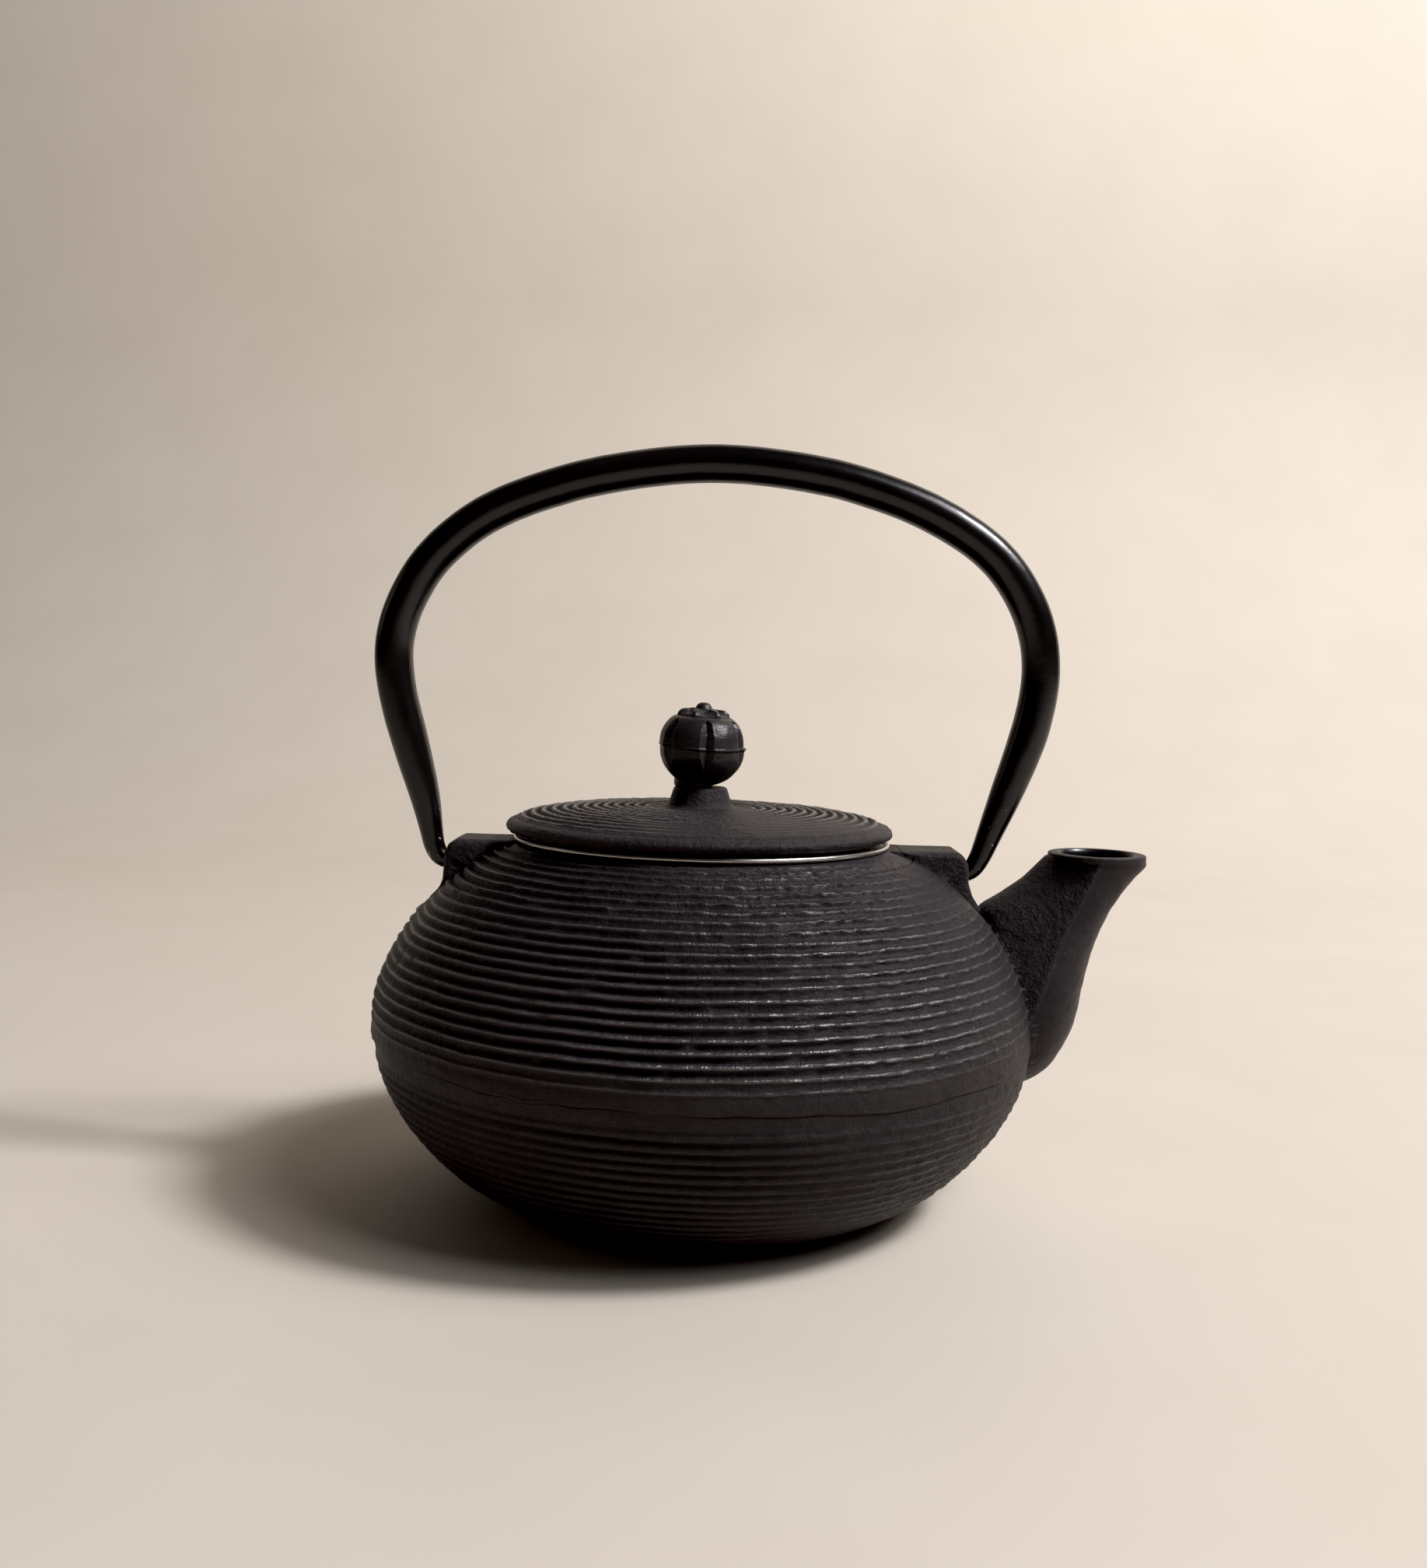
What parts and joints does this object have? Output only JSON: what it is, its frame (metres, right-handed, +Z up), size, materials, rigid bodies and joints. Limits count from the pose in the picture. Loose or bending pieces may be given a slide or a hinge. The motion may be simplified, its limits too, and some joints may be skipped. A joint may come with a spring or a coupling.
{
  "type": "teapot infuser",
  "caption": "Squat cast-iron teapot with ribbed walls, a swinging bail handle, a spout, a flat lid with a ball knob and a lift-out steel tea basket.",
  "frame": {"origin": "centre of the flat foot on the table, on the pot's vertical axis", "axes": "+Z up; +X from the pot's axis towards the spout; the bail handle stands in the X-Z plane at rest and hinges about an axis along X"},
  "size_m": [0.1722, 0.145, 0.1651],
  "materials": {
    "cast_iron": "dark brown-black satin lacquer over sand-cast iron",
    "lid_iron": "dark brown-black satin lacquer over sand-cast iron",
    "knob_iron": "dark brown-black satin lacquer",
    "handle_enamel": "satin black lacquer on steel tube",
    "stainless": "bright stainless, rolled",
    "stainless_mesh": "stainless, finely perforated",
    "rivet_steel": "plain zinc-dull steel"
  },
  "bodies": {
    "pot": {"pot_body": "cast_iron"},
    "bail": {"handle": "handle_enamel"},
    "basket": {"infuser_rim": "stainless", "infuser_wall": "stainless_mesh", "infuser_floor": "stainless_mesh", "infuser_foot_ring": "stainless"},
    "cover": {"lid": "lid_iron"},
    "knob": {"lid_knob": "knob_iron", "knob_rivet": "rivet_steel", "rivet_washer": "rivet_steel"}
  },
  "joints": [
    {"name": "handle_swing", "type": "hinge", "parent": "pot", "child": "bail", "pos_m": [0, 0, 0.072], "axis": [1, 0, 0], "range_deg": [-117, 117]},
    {"name": "infuser_lift", "type": "slide", "parent": "pot", "child": "basket", "axis": [0, 0, 1], "range_m": [0, 0.046]},
    {"name": "lid_lift", "type": "slide", "parent": "basket", "child": "cover", "axis": [0, 0, 1], "range_m": [0, 0.045]},
    {"name": "knob_spin", "type": "hinge", "parent": "cover", "child": "knob", "pos_m": [-0.0016, 0, 0.0897], "axis": [0, 0, 1], "continuous": true}
  ]
}
